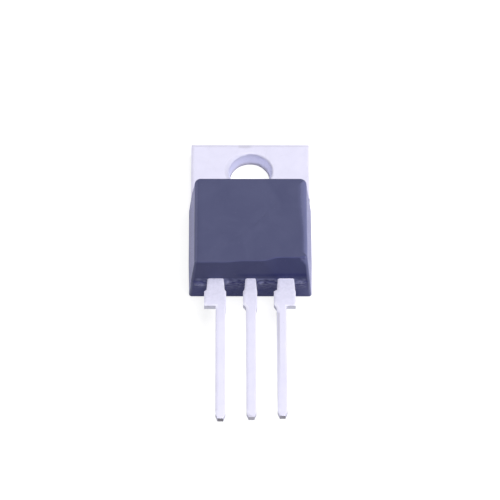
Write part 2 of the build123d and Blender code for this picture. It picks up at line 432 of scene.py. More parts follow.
def layered_color(tree, tones, layers):
    """Two tones blended by a mask, then moved towards the colour of each layer in turn."""
    mask, low, high = tones
    color = blend_colors(tree, mask, (*low, 1), (*high, 1))
    for mask, strength, toward in layers:
        color = blend_colors(tree, calc(tree, "MULTIPLY", mask, strength), color, (*toward, 1))
    return color


# %% [markdown]
# ### Moulded epoxy
# The compound is about four fifths silica powder, so it is a satin slate colour, not deep
# black. The spark-eroded mould leaves an even fine texture, coarser behind the parting line,
# where painted shade also darkens the block, most on the lead end. The powder gives a lavender
# bloom at a low angle, which makes the steep side walls pale: a sheen does this without
# brightening the front, and a painted sheen in the colour adds to it near the lead end.
# Painted highlights lighten the left wall, the right front edge and the corners of the lead
# end. Flash and worn edges are paler too, because the powder lies bare there.

# %% Epoxy finish
epoxy, tree, shader, place = new_finish(
    "moulded_epoxy", Specular_IOR_Level=0.45, Specular_Tint=(0.4, 0.4, 1.0, 1.0),
    Sheen_Weight=1.0, Sheen_Roughness=0.3, Sheen_Tint=(0.65, 0.65, 1.0, 1.0),
)
patches = use_group(tree, patch_group, place, Per_mm=0.35)
blotches = use_group(tree, patch_group, place, Per_mm=2.2, Softness=0.2)
grain = use_group(tree, grain_group, place, Per_mm=9.0)
fine = use_group(tree, grain_group, place, Per_mm=30.0)
powder = use_group(tree, speck_group, place, Per_mm=7.0, Share=0.12, Size=0.3)
edge = mesh_mask(tree, "edge")
edge_wear_and_shade = use_group(tree, edge_wear_and_shade_group, place, Edge=edge, Amount=0.50, Per_mm=4.0)
painted_shade = mesh_mask(tree, "painted_shade")
coarse = calc(tree, "MULTIPLY", blotches, painted_shade)
# Three layers paint light into this colour: shade behind the parting line and on the lead end, a
# bluish sheen on the side walls, and highlights on the walls, edges and corners.
color = layered_color(tree, (patches, (0.080, 0.086, 0.163), (0.094, 0.101, 0.184)), [
    (painted_shade, 0.95, (0.005, 0.007, 0.096)),
    (coarse, 0.35, (0.07, 0.08, 0.19)),
    (powder, 0.30, (0.20, 0.21, 0.32)),
    (edge_wear_and_shade, 0.50, (0.16, 0.17, 0.28)),
    (mesh_mask(tree, "painted_sheen"), 0.9, (0.085, 0.092, 0.26)),
    (mesh_mask(tree, "painted_shading"), 0.9, (0.21, 0.22, 0.43)),
    (mesh_mask(tree, "flash"), 0.9, (0.36, 0.37, 0.60)),
])
feed(shader, {"Base Color": color, "Roughness": spread_value(tree, grain, 0.30, 0.45)})
set_bump(tree, shader, [(grain, 0.6), (fine, 0.4), (powder, 0.3), (coarse, 0.7)], 0.012)

# %% [markdown]
# ### Matt tin plate
# Electroplated tin looks soft and pale. Its crystals are so fine and rough that it scatters
# light almost like paint, so the shader is only partly metallic. What tells it from paper are
# the rolling lines of the copper under it, a patchy sheen, hair scratches and the edges that
# the punch has burnished. Painted shade darkens the leads towards the moulding and along the
# left and top edges, and painted highlights brighten the right edges.


# %% Tin plate finish
def make_tin(name, lines, turn, root_shade):
    """Tin over rolled copper; lines packs the grain closer across the rolling direction."""
    material, tree, shader, place = new_finish(name)
    patches = use_group(tree, patch_group, place, Per_mm=0.8)
    mottle = use_group(tree, patch_group, place, Per_mm=3.5, Softness=0.2)
    rolled = use_group(tree, grain_group, place, Per_mm=3.0, Stretch=lines)
    crystals = use_group(tree, grain_group, place, Per_mm=22.0)
    hair = use_group(tree, scratch_group, place, Turn=turn, Per_mm=6.0, Share=0.10)
    cross = use_group(tree, scratch_group, place, Turn=turn + 1.1, Per_mm=4.0, Share=0.06)
    marks = calc(tree, "MAXIMUM", hair, cross)
    pits = use_group(tree, speck_group, place, Per_mm=3.0, Share=0.05, Size=0.22)
    edge, painted_highlight = mesh_mask(tree, "edge"), mesh_mask(tree, "painted_highlight")
    burnish, smear_and_shade = mesh_mask(tree, "burnish"), mesh_mask(tree, "smear_and_shade")
    edge_wear_and_shade = use_group(tree, edge_wear_and_shade_group, place, Edge=edge, Amount=0.45, Per_mm=2.5)
    along = add_node(tree, "ShaderNodeSeparateXYZ", {0: to_part_mm(tree, place)}).outputs["Y"]
    wall = moulding_low.y / MM
    # Painted shade: the leads darken, in patches, over the last four millimetres towards the
    # moulding wall.
    beside = ramp(tree, along, wall - 4.0, wall + 0.1)
    root_shade_mask = calc(tree, "MULTIPLY", beside, spread_value(tree, mottle, 0.25, 1.0))
    # Painted light in this colour: the edge layer paints shade along left and top edges, the layer
    # near the moulding paints shade on the leads, the smear layer also paints shade in the bore,
    # and the bright layer paints highlights on right edges, stub ends and tips.
    color = layered_color(tree, (patches, (0.77, 0.755, 0.92), (0.81, 0.795, 0.95)), [
        (marks, 0.20, (0.55, 0.53, 0.66)),
        (pits, 0.25, (0.50, 0.48, 0.58)),
        (edge_wear_and_shade, 0.28, (0.60, 0.58, 0.70)),
        (smear_and_shade, 0.9, (0.57, 0.555, 0.68)),
        (root_shade_mask, root_shade, (0.52, 0.52, 0.66)),
        (painted_highlight, 1.0, (0.92, 0.915, 0.99)),
        (burnish, 1.0, (0.77, 0.763, 0.955)),
    ])
    clean = calc(tree, "SUBTRACT", 1.0, smear_and_shade)
    shine = calc(tree, "MULTIPLY", spread_value(tree, burnish, 0.35, 0.70), clean)
    rough = spread_value(tree, patches, 0.60, 0.70)
    rough = calc(tree, "MULTIPLY_ADD", marks, -0.10, rough)
    rough = calc(tree, "MULTIPLY_ADD", burnish, -0.15, rough)
    feed(shader, {"Base Color": color, "Metallic": shine, "Roughness": rough})
    set_bump(tree, shader, [(rolled, 0.5), (crystals, 0.4), (marks, -0.5), (pits, -0.5)], 0.006)
    return material


tin_on_tab = make_tin("tin_on_tab", (1, 0.12, 1), turn=0.2, root_shade=0.0)
tin_on_leads = make_tin("tin_on_leads", (1, 0.08, 1), turn=0.0, root_shade=0.45)

# %% [markdown]
# ### Cut metal
# The lead tips are trimmed after plating, so they are bare: grey, torn downwards by the
# cutter, and much duller than the tin. The cutter drags some tin over the edge as well, and
# how much differs from lead to lead, so that is a mask.

# %% Cut metal finish
cut_metal, tree, shader, place = new_finish("cut_metal", Metallic=0.6)
tears = use_group(tree, grain_group, place, Per_mm=8.0, Stretch=(1, 1, 0.12))
patches = use_group(tree, patch_group, place, Per_mm=2.5, Softness=0.15)
color = layered_color(tree, (patches, (0.22, 0.21, 0.232), (0.34, 0.33, 0.352)), [
    (tears, 0.4, (0.50, 0.46, 0.47)),
    (mesh_mask(tree, "smear_and_shade"), 1.0, (0.77, 0.75, 0.80)),
])
feed(shader, {"Base Color": color, "Roughness": spread_value(tree, tears, 0.45, 0.70)})
set_bump(tree, shader, [(tears, 1.0)], 0.02)
print("finishes:", sorted(material.name for material in bpy.data.materials if material.users))

# %% [markdown]
# ## Meshes from outlines
# The tab and the leads are punched from strip. Punching leaves its own section: the face
# where the tool went in is rolled over, the opposite face ends in a slight burr. So the mesh
# is built as the press makes it: one outline, repeated up the thickness, each copy set in a
# little according to that section, and closed by a flat face at each end.


# %% Closed rows of points
def smooth(value, start, stop):
    """0 before the start, 1 after the stop, with soft ends."""
    share = min(1, max(0, (value - start) / (stop - start)))
    return share * share * (3 - 2 * share)


def outward(points):
    """Mitred outward direction at each point of an anticlockwise outline."""
    found = []
    for before, point, after in zip(points[-1:] + points[:-1], points, points[1:] + points[:1]):
        one = (point - before).normalized()
        two = (after - point).normalized()
        first, second = Vector((one.y, -one.x)), Vector((two.y, -two.x))
        found.append((first + second) / (1 + first.dot(second)))
    return found


def spread_points(points, spacing, clear, levels=()):
    """Outline with its sides divided clear of the corners, and also where a Y level cuts it."""
    fine = []
    for point, after in zip(points, points[1:] + points[:1]):
        length = (after - point).length
        steps = max(1, round(length / spacing))
        shares = [step / steps for step in range(steps)]
        shares = [s for s in shares if s == 0 or min(s, 1 - s) * length > clear]
        for level in levels:
            if (point.y - level) * (after.y - level) < 0:
                shares.append((level - point.y) / (after.y - point.y))
        fine += [point.lerp(after, share) for share in sorted(shares)]
    return fine


def circle_points(centre, radius, count):
    """Clockwise circle, for the inside of a hole."""
    turns = [-2 * math.pi * step / count for step in range(count)]
    return [centre + Vector((math.cos(turn), math.sin(turn))) * radius for turn in turns]


# %% [markdown]
# ### From rows to a finished piece
# Every mesh is a stack of closed rows. Quads join each row to the next, and triangles fill the
# flat ends. Tight turns stay hard, and weighted normals keep the large faces flat.


# %% Faces, masks and the finished object
def new_masked_mesh(*names):
    """Empty mesh that carries the named masks."""
    mesh = bmesh.new()
    for name in names:
        mesh.verts.layers.float.new(name)
    return mesh


def skin_rows(mesh, rows):
    """Quads between each closed row of vertices and the next."""
    for lower, upper in zip(rows, rows[1:]):
        for index in range(len(lower)):
            after = (index + 1) % len(lower)
            mesh.faces.new((lower[index], lower[after], upper[after], upper[index]))


def close_flat(mesh, loops):
    """Triangles between a closed row of vertices and the rows of the holes in it."""
    flat = [[Vector((vertex.co.x, vertex.co.y, 0)) / MM for vertex in loop] for loop in loops]
    corners = [vertex for loop in loops for vertex in loop]
    for triangle in tessellate_polygon(flat):
        mesh.faces.new([corners[index] for index in triangle])


def finish_mesh(mesh, name, materials, hard_angle=40):
    """Object from a finished bmesh, smooth between its hard edges, riding on the part."""
    bmesh.ops.remove_doubles(mesh, verts=mesh.verts, dist=0.0001 * MM)
    bmesh.ops.recalc_face_normals(mesh, faces=mesh.faces)
    hard = math.radians(hard_angle)
    for edge in mesh.edges:
        edge.smooth = len(edge.link_faces) == 2 and edge.calc_face_angle(0) < hard
    for face in mesh.faces:
        face.smooth = True
    data = bpy.data.meshes.new(name)
    mesh.to_mesh(data)
    mesh.free()
    for material in materials:
        data.materials.append(material)
    piece = add_object(name, data)
    piece.modifiers.new("even_shading", "WEIGHTED_NORMAL").keep_sharp = True
    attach(piece, "root")
    print(f"{name}: {len(data.polygons)} faces")
    return piece


# %% [markdown]
# ### The section of a punched side
# From the bottom up it has a burr, a torn wall, a band burnished by the tool, and a rolled
# edge. Each station of it becomes a row, and each vertex notes how worn or bright it is.


# %% Section of a punched side
def punched_stations(steps=4):
    """Stations up a punched side: flat, burr, torn and burnished wall, rolled edge, flat."""
    stations = [("base", 0.06 * MM)] + [("burr", share / 2) for share in range(3)]
    stations += [("wall", 0.15), ("wall", 0.35), ("wall", 0.7)]
    stations += [("roll", step / steps) for step in range(steps + 1)]
    return stations + [("flat", 0.03 * MM)]


def station_place(kind, share, low, high, burr, roll):
    """(inset, height, edge mask) at a station; roll is how far the edge reaches in and down."""
    turn = math.pi / 2 * share
    if kind == "base":
        return burr + share, low, 0.0
    if kind == "burr":
        return burr * (1 - math.sin(turn)), low + burr * (1 - math.cos(turn)), 0.7
    if kind == "wall":
        return 0.0, low + (high - roll[1] - low) * share, 0.0
    if kind == "roll":
        return roll[0] * share, high - roll[1] * (1 - share) ** 2, 1 - share ** 2
    return roll[0] + share, high, 0.0


def punched_rows(mesh, points, stations, low, high, burr, roll_at, marks_at, burnish=0.0):
    """Rows of vertices for the stations of one outline, slightly uneven as a cut side is."""
    layers = mesh.verts.layers.float
    rows = []
    for kind, share in stations:
        row = []
        for point, out in zip(points, outward(points)):
            facing = out.normalized()
            roll = roll_at(point, facing)
            inset, height, mask = station_place(kind, share, low, high, burr, roll)
            sway = noise.noise(Vector((point.x, point.y, height)) / (0.5 * MM)) * 0.006 * MM
            place = point + out * (sway - inset)
            vertex = mesh.verts.new((place.x, place.y, height))
            # The first mask carries painted edge shade and the last one a painted highlight.
            painted_shading, smear_and_shade, painted_highlight = marks_at(point, facing, kind, share)
            vertex[layers["edge"]] = mask * painted_shading
            vertex[layers["smear_and_shade"]], vertex[layers["painted_highlight"]] = smear_and_shade, painted_highlight
            polish = {"wall": smooth(share, 0.05, 0.35), "roll": (1 - share) ** 2}.get(kind, 0)
            vertex[layers["burnish"]] = burnish * polish
            row.append(vertex)
        rows.append(row)
    return rows


print("stations up a punched side:", [kind for kind, share in punched_stations()])

# %% [markdown]
# ## The tab
# Outside the moulding the plate is a plain rectangle with a round hole. Inside, it is
# narrower, stepped so that the epoxy hooks under it, and crossed by a shallow moisture
# groove. The solid has all this, so the mesh takes its outlines above and below the step.

# %% Tab outline inside and outside
over = outline_at("tab", tab_low.z + 0.7 * (tab_high.z - tab_low.z))
under = outline_at("tab", tab_low.z + 0.1 * (tab_high.z - tab_low.z))
foot = sorted({round(point.y / MM, 3) for point in over})[1] * MM
wide, low_end = max(p.x for p in over if p.y < foot - 0.1 * MM), min(p.y for p in over)
narrow = max(p.x for p in under if p.y < foot - 0.1 * MM)
short = (min(p.y for p in under) - foot) / (low_end - foot)

# %% Levels of the groove
# The sides of the solid have vertices at the groove's two rims and its bottom.
levels = sorted({
    round(vertex.co.y / MM, 3) for vertex in nodes["tab"].data.vertices
    if abs(vertex.co.x) > 2 * MM and moulding_low.y < vertex.co.y < foot - 0.01 * MM
    and vertex.co.z > 0.8 * tab_high.z
})
grooves = [level * MM for level in levels[-3:]]
print("groove levels:", [round(level / MM, 2) for level in grooves])

# %% The same points below the step
over = spread_points(over, 0.20 * MM, 0.45 * MM, grooves)
under = []
for point in over:
    if point.y <= foot + 0.001 * MM and abs(point.x) <= wide + 0.001 * MM:
        side = max(-narrow, min(narrow, point.x))
        under.append(Vector((side, foot + (point.y - foot) * short)))
    else:
        under.append(point.copy())
print("points round the tab:", len(over))

# %% [markdown]
# ### Edges of the tab
# The press rolls the front edges over, and painted shade along the left and top edges, where
# the roll is widest, draws a soft darker line. The right edge carries a painted highlight
# instead, and the top edge has a dull patch, where the plate was cut from its strip. The punch
# went through slightly askew: the mouth of the bore is drawn in most on the left, and the metal
# at its foot stands in most on the right. The torn foot of the bore is dull and painted with
# shade, and so is the left part of its mouth.

# %% Rolls and marks of the tab
tab_burr = 0.03 * MM
tab_roll_depth = 0.035 * MM


def tab_roll(point, out):
    """Wide and shallow along the left and top edges, tighter along the right one."""
    wide = smooth(max(out.y, -out.x), 0.3, 0.7)
    outside = smooth(point.y, moulding_high.y - 0.6 * MM, moulding_high.y - 0.2 * MM)
    return (0.04 + outside * (0.11 + 0.19 * wide)) * MM, tab_roll_depth


def tab_marks(point, out, kind, share):
    """Three masks: painted shade on the left and top edges, the dull patch of the cut, a painted
    highlight on the right edge.
    """
    if kind in ("flat", "base"):
        return 0.0, 0.0, 0.0
    x = point.x / MM
    patch = smooth(x, -1.10, -0.85) * (1 - smooth(x, -0.15, 0.25))
    patch *= (0.55 if kind == "roll" else 1) * (point.y > tab_high.y - 0.01 * MM)
    bright = 0.5 * smooth(out.x, 0.6, 0.9) * (kind == "roll") * (1 - share)
    return smooth(max(out.y, -out.x), 0.3, 0.7), patch, bright


def bore_roll(point, out):
    """The mouth of the bore is drawn in most on its left side."""
    left = max(0, out.x)
    return (0.18 + 0.24 * left) * MM, (0.12 + 0.06 * left) * MM


def bore_lip(across):
    """How far the foot of the bore stands in, in millimetres: most on the right."""
    return 0.10 + 0.04 * smooth(-across, 0.3, 0.9) + 0.08 * smooth(across, 0.3, 0.9)


def bore_marks(point, out, kind, share):
    """The bore is dull where it is torn, at the bottom, and carries painted shade there and in the
    left part of its mouth.
    """
    left = smooth(out.x, -0.1, 0.6)
    dull = {
        "burr": 0.75, "wall": 0.75 * (1 - smooth(share, 0.1, 0.4)),
        "roll": 0.8 * left * (1 - share ** 2),
    }
    return 0.0, dull.get(kind, 0), 0.0


# %% [markdown]
# ### Mesh of the tab
# The side of the plate and the wall of the bore are two stacks of rows. The top face is
# closed in bands, so that its triangles run along the groove.


# %% Tab mesh
def tab_rows(mesh):
    """Rows up the side of the plate, with the step for the moulding and the sunk groove."""
    low, high, bottom, depth = tab_low.z, tab_high.z, grooves[1], 0.15 * MM
    ledge = min(v.co.z for v in nodes["tab"].data.vertices if v.co.z > low + 0.01 * MM)
    share = (ledge - low) / (high - tab_roll_depth - low)
    stations = punched_stations()
    side = (low, high, tab_burr, tab_roll, tab_marks)
    lower = punched_rows(mesh, under, stations[:4], *side)
    step = [punched_rows(mesh, shape, [("wall", share)], *side)[0] for shape in (under, over)]
    upper = punched_rows(mesh, over, stations[6:], *side)
    for vertex in sum(upper, []):
        if abs(vertex.co.y - bottom) < 0.01 * MM:
            vertex.co.z = min(vertex.co.z, high - depth)
    return lower + step + upper


def bore_rows(mesh, steps=96, lip_shares=(1, 1, 1, 1, 0.9, 0.6, 0.2)):
    """Rows up the wall of the bore; the lowest ones stand in by a share of the lip."""
    hole = next(m for m in frame["record"]["mounts"] if m["name"] == "mounting_hole")
    radius = hole["dims"]["r_mm"]
    circle = circle_points(Vector(hole["pos_m"][:2]), radius * MM, steps)
    side = (tab_low.z, tab_high.z, tab_burr, bore_roll, bore_marks)
    rows = punched_rows(mesh, circle, punched_stations(), *side, burnish=1.0)
    for row, share in zip(rows, lip_shares):
        for vertex in row:
            vertex.co.xy *= 1 - share * bore_lip(vertex.co.x / MM / radius) / radius
    return rows


mesh = new_masked_mesh("edge", "smear_and_shade", "burnish", "painted_highlight")
rows = tab_rows(mesh)
skin_rows(mesh, rows)
bore = bore_rows(mesh)
skin_rows(mesh, bore)
close_flat(mesh, [rows[0], bore[0]])
far, near = 1.0, 0.0001 * MM
bands = [far] + sorted(grooves, reverse=True) + [-far]
for top, bottom in zip(bands, bands[1:]):
    part = [v for v in rows[-1] if bottom - near < v.co.y < top + near]
    close_flat(mesh, [part, bore[-1]] if top == far else [part])
mounting_tab = finish_mesh(mesh, "mounting_tab", [tin_on_tab])
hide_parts("tab")

# %% [markdown]
# ## The leads
# The three leads differ in their roots and shoulders, the stubs of the bar that joined them
# in the strip. Their left edges are rolled over further, as happens when the strip lies a
# little askew in the press, and carry painted shade; the right edges carry a painted
# highlight. The stubs are plated and only the tips are bare; painted highlights brighten the
# end faces of the stubs and the sides of the tips.

# %% Rolls and marks of the leads
tip_wear = {"lead_cathode": 0.0, "lead_anode": 0.53, "lead_gate": 0.22}
tip_length = 0.5 * MM
shoulder_end = -16.0 * MM


def lead_roll(point, out):
    """The roll of an edge grows as the edge turns to the left, and is small on cut ends."""
    left, side = max(0, -out.x), abs(out.x)
    from_wall = (point.y - moulding_low.y) / MM
    outside = 1 - smooth(from_wall, -0.13, 0.17)
    return (0.03 + outside * (0.09 * side + 0.12 * left)) * MM, (0.02 + 0.015 * side) * MM


def lead_marks(node):
    """Gives the function (painted edge shade, tin dragged or scraped, painted highlight) of a lead.
    """
    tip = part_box(node)[0].y

    def marks_at(point, out, kind, share):
        if kind in ("flat", "base"):
            # A faint painted highlight on the top face of the cathode beyond its shoulders.
            thin = smooth(shoulder_end - point.y, 0.0, 1.5 * MM)
            return 0.0, 0.0, 0.2 * thin * (node == "lead_cathode" and kind == "flat")
        if point.y < tip + tip_length:
            # Painted highlight on the sides of the tip.
            painted_highlight = 0.3 if kind == "roll" else 1.0
            return (0.0, tip_wear[node], 0.0) if out.y < -0.75 else (0.0, 0.0, painted_highlight)
        scraped = node == "lead_gate" and out.x < -0.9 and kind == "roll"
        if scraped and point.y < shoulder_end:
            inner = smooth(share, 0.0, 0.35)
            return 0.0, 0.85 * smooth(point.y, -25.0 * MM, shoulder_end) * inner, 0.5 * (1 - inner)
        # Painted highlight on the end faces of the stubs and along the right edges, painted shade
        # along the left edges.
        stub = smooth(-out.y, 0.05, 0.3) * (1.0 if kind == "wall" else 0.4)
        bright = 0.4 * smooth(out.x, 0.6, 0.9) * (kind == "roll")
        return 0.75 * smooth(-out.x, 0.6, 0.9), 0.0, max(stub, bright * (1 - share))

    return marks_at


# %% [markdown]
# ### Meshes of the leads
# A lead is one stack of rows between two flat faces. Only its end face takes the cut finish.


# %% Lead meshes
def paint_cut_end(piece, tip):
    """Gives the cut finish to the end face of a tip."""
    count = 0
    for face in piece.data.polygons:
        at_tip = face.center.y < tip + tip_length
        if at_tip and face.normal.y < -0.8 and abs(face.normal.z) < 0.5:
            face.material_index = 1
            count += 1
    print(piece.name, "cut faces:", count)


def make_lead(node):
    mesh = new_masked_mesh("edge", "smear_and_shade", "burnish", "painted_highlight")
    low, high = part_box(node)
    points = spread_points(outline_at(node, (low.z + high.z) / 2), 0.2 * MM, 0.25 * MM)
    side = (low.z, high.z, 0.02 * MM, lead_roll, lead_marks(node))
    rows = punched_rows(mesh, points, punched_stations(), *side)
    skin_rows(mesh, rows)
    close_flat(mesh, [rows[0]])
    close_flat(mesh, [rows[-1]])
    name = node.replace("lead_", "") + "_lead"
    piece = finish_mesh(mesh, name, [tin_on_leads, cut_metal])
    paint_cut_end(piece, low.y)
    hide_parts(node)
    return piece


leads = {node: make_lead(node) for node in lead_names}

# %% [markdown]
# ## The moulding
# The block has four different drafts, a parting line at the height of the leads, rounded
# corners and a soft front edge. A bevelled box would have one radius everywhere, so the mesh
# is built in level rows instead. Each row takes its limits from the solid, and each place
# round the block has its own edge radius: tight at both ends, wider along the worn sides.

# %% Perimeter of the block
corner_radius = {"end": 0.24 * MM, "top": 0.42 * MM}
wall_heights = [moulding_low.z + 0.01 * MM, tab_high.z, lead_low, moulding_high.z - 0.3 * MM]
wall_levels = [(height, outline_limits(outline_at("moulding", height + 0.0005 * MM)))
               for height in wall_heights]


def wall_limits(height):
    """X and Y limits of the walls at a height, along the drafts and past their ends."""
    pairs = list(zip(wall_levels, wall_levels[1:]))
    below, above = next((p for p in pairs if height <= p[1][0]), pairs[-1])
    share = (height - below[0]) / (above[0] - below[0])
    return [a + (b - a) * share for a, b in zip(below[1], above[1])]


def perimeter_place(height, number, share):
    """Point and outward direction on a side of the block; a share past 1 is on its corner."""
    x0, x1, y0, y1 = wall_limits(height)
    end, top = corner_radius["end"], corner_radius["top"]
    corners = [(x0, y0, end), (x1, y0, end), (x1, y1, top), (x0, y1, top)]
    ax, ay, ar = corners[number]
    bx, by, br = corners[(number + 1) % 4]
    along = Vector((bx - ax, by - ay)).normalized()
    out = Vector((along.y, -along.x))
    start, stop = Vector((ax, ay)) + along * ar, Vector((bx, by)) - along * br
    if share <= 1:
        return start.lerp(stop, share), out
    turn = (share - 1) * math.pi / 2
    direction = out * math.cos(turn) + along * math.sin(turn)
    return stop + (direction - out) * br, direction


def perimeter_shares(sides=(168, 60, 72, 60), arc=8):
    """(side, share) all round the block: lead end, right, top, left, each with its corner."""
    found = []
    for number, steps in enumerate(sides):
        found += [(number, step / steps) for step in range(steps)]
        found += [(number, 1 + step / arc) for step in range(arc)]
    return found


print("wall limits at the parting:", [round(value / MM, 2) for value in wall_limits(lead_low)])

# %% [markdown]
# ### What the mould leaves on the lead end
# Between the leads the bar of the lead frame closes the mould, and resin creeps out there. It
# leaves a raised ragged band with small lumps and a collar at the corners of each root. Above
# the band the wall leans back, most on the right, so the front edge is not quite straight.


# %% Roots, lumps and band
def side_crossings(points, level):
    """X of the places where an outline crosses a Y level."""
    found = []
    for a, b in zip(points, points[1:] + points[:1]):
        if (a.y - level) * (b.y - level) < 0:
            found.append(a.lerp(b, (level - a.y) / (b.y - a.y)).x / MM)
    return found


def root_corners():
    """X of both sides of each lead just outside the moulding, in millimetres."""
    level, height = moulding_low.y - 0.05 * MM, (lead_low + lead_high) / 2
    return [x for node in lead_names for x in side_crossings(outline_at(node, height), level)]


roots = root_corners()
# place, half length and height above the parting, all in millimetres
lumps = [(-4.30, 0.45, -0.24), (-1.98, 0.17, 0.10), (0.84, 0.20, 0.02), (4.08, 0.28, 0.08)]
# heights in millimetres
parting, band_low, band_high, front = (
    lead_low / MM, lead_low / MM - 0.50, lead_high / MM, moulding_high.z / MM,
)
print("roots leave the wall at:", [round(x, 2) for x in roots])


# %% Relief of the lead-end wall
def wall_lean(x, height):
    """How far the front half of the wall leans back, in millimetres."""
    amount = 0.04 + 0.15 * smooth(x, -2.2, -0.7) + 0.36 * smooth(x, 0.9, 2.4)
    share = max(0, (height - band_high) / (front - band_high))
    return amount * share ** 1.3


def band_share(height, soft=0.06):
    """1 inside the band of flash, 0 above and below it."""
    upper = 1 - smooth(height, band_high - soft, band_high + 0.4 * soft)
    return smooth(height, band_low - 0.70, band_low + 0.55) * upper


def end_relief(x, height):
    """(millimetres outwards, paleness) of the lead-end wall; x and height in millimetres."""
    band = band_share(height)
    ragged = 0.5 + noise.noise(Vector((x * 2.6, height * 5.0, 3.1)))
    fine = 0.5 + noise.noise(Vector((x * 7.0, height * 7.0, 8.2)))
    collar = max(math.exp(-((x - root) / 0.11) ** 2) for root in roots)
    lift = height - parting
    lump = max(math.exp(-((x - place) / half) ** 2 - ((lift - level) / 0.17) ** 2)
               for place, half, level in lumps)
    out = band * (0.02 + 0.035 * ragged + 0.03 * fine + 0.08 * collar) + 0.09 * lump
    seam = math.exp(-(lift / 0.03) ** 2)
    pale = 0.35 * band * max(0, 1.4 * ragged - 0.25) + lump * (0.4 + fine)
    return out + 0.01 * seam * ragged, min(1, pale)


# %% [markdown]
# ### Walls and edges of a worn mould
# The left wall stands out a little, and behind the parting line both side walls draw in near
# the lead end. The rounding of the front edge differs from side to side.


# %% Walls, rows and the reach of the front edge
def wall_place(height, number, share):
    """Point and outward direction on a wall of the block; the height is in metres."""
    point, out = perimeter_place(height, number, share)
    near_end = 1 - smooth((point.y - moulding_low.y) / MM, 0.5, 4.0)
    shrunk = 0.05 * (1 - smooth(height, 0.8 * MM, lead_low)) * near_end
    fuller = 0.06 - 0.045 * smooth(height, lead_low, moulding_high.z) - shrunk
    point.x -= fuller * MM * smooth(-point.x / MM, 3.5, 4.8)
    point.x -= shrunk * MM * smooth(point.x / MM, 3.5, 4.8)
    point.y += wall_lean(point.x / MM, height / MM) * MM * near_end
    return point, out


def block_rows():
    """(height, inset, edge mask) of the rows up the walls, in millimetres."""
    base, soft, steps = moulding_low.z / MM, 0.05, 24
    start, stop = band_low - 0.04, band_high + 0.08
    rows = [(base, soft, 0.8), (base + 0.25 * soft, 0.3 * soft, 0.7), (base + soft, 0, 0.2)]
    heights = [0.25, 0.6, 1.0, tab_high.z / MM, 1.55, 1.70]
    heights += [start + (stop - start) * step / steps for step in range(steps)]
    heights += [parting - 0.02, parting, parting + 0.02]
    heights += [stop, 3.03, 3.08, 3.14, 3.22, 3.35, 3.7, 3.85, 4.0, 4.12, 4.25]
    return sorted(rows + [(height, 0, 0) for height in heights])


def edge_reach(number, share):
    """How far the front edge is rounded in and down, in millimetres, round the perimeter."""
    right_corner = Vector((0.16, 0.22))

    def straight(side, along):
        if side == 1:
            reach = Vector((0.48 + 0.30 * smooth(along, 0.3, 0.8), 0.30))
            return reach.lerp(right_corner, 1 - smooth(along, 0.0, 0.05))
        reach = Vector(((0.06, 0.06), None, (0.07, 0.07), (0.40, 0.26))[side])
        return reach.lerp(right_corner, smooth(along, 0.95, 1.0) * (side == 0))

    if share <= 1:
        return straight(number, share)
    return straight(number, 1).lerp(straight((number + 1) % 4, 0), share - 1)


print("rows up the walls:", len(block_rows()))

# %% [markdown]
# ### Painted shade, sheen and highlights on the block
# Painted shade darkens the half behind the parting line, a soft seam above the band and the
# lead end, most on its right, where the wall leans back. The painted sheen is strongest on the
# side walls near the lead end. Painted highlights lighten the left wall, the top of the right
# wall, the right front edge, the upright corners of the lead end and a triangle at its front
# right corner.


# %% Masks of the block
def painted_shade_mask(x, height, behind, on_end):
    """Painted shade behind the parting line, weaker on the walls; on the lead end also painted
    shade on its right and along a seam above the band.
    """
    if not on_end:
        return 0.3 * behind
    seam = math.exp(-((height - band_high - 0.33) / 0.14) ** 2) * smooth(x, -1.6, -0.4)
    return max(behind, 0.14 + 0.20 * smooth(x, 0.9, 2.4) + 0.4 * seam)


def skin_masks(x, y, height, out, on_end, left_over):
    """(painted shade, painted sheen, painted highlights) at a place in mm; left_over is what stays
    of a wall's sheen and highlights.
    """
    behind = 1 - smooth(height, parting - 0.01, band_high)
    left, right = smooth(-out.x, 0.6, 1), smooth(out.x, 0.6, 1)
    low = 1 - smooth(y, -12.0, -7.0)
    # Painted sheen: a bluish tint on the side walls that grows towards the lead end, and near the
    # lower corners of the lead end.
    painted_sheen = (0.50 * low * right + (0.20 + 0.30 * low) * left) * left_over ** 2
    painted_sheen += on_end * 0.7 * behind * smooth(abs(x), 3.4, 4.3)
    # Painted highlights: the top of the right wall, the left wall above the parting line, the
    # corners of the lead end, a triangle at its front right corner and the right front edge.
    painted_shading = (0.6 + 0.3 * low) * right * smooth(height, 3.9, front - 0.3)
    painted_shading += (0.5 + 0.6 * smooth(y, -7.5, -4.5)) * left * (1 - behind)
    if out.y < -0.1:
        front_corner_highlight = (x - 4.05) / 0.60 - (front - height) / 0.80
        corner = (0.7 if out.x > 0 else 0.35) * abs(2 * out.x * out.y)
        painted_shading = max(painted_shading, 0.8 * smooth(front_corner_highlight, -0.1, 0.3), corner)
        painted_shading += 0.3 * smooth(x, 4.2, 4.9) * (1 - smooth(height, 1.0, 1.8))
    painted_shading *= left_over ** (1.3 if out.x > 0 else 2.5)
    painted_shading += 0.7 * right * left_over ** 2 * (left_over < 1)
    return painted_shade_mask(x, height, behind, on_end), painted_sheen, painted_shading


# %% [markdown]
# ### Skin of the block
# The rows climb the walls, go over the rounded edge, where the wear of the walls fades, and
# close in over the front. It is sunk by a hair in its middle, because resin shrinks as it cures.

# %% Skin of the block
epoxy_masks = ("edge", "flash", "painted_shade", "painted_sheen", "painted_shading")


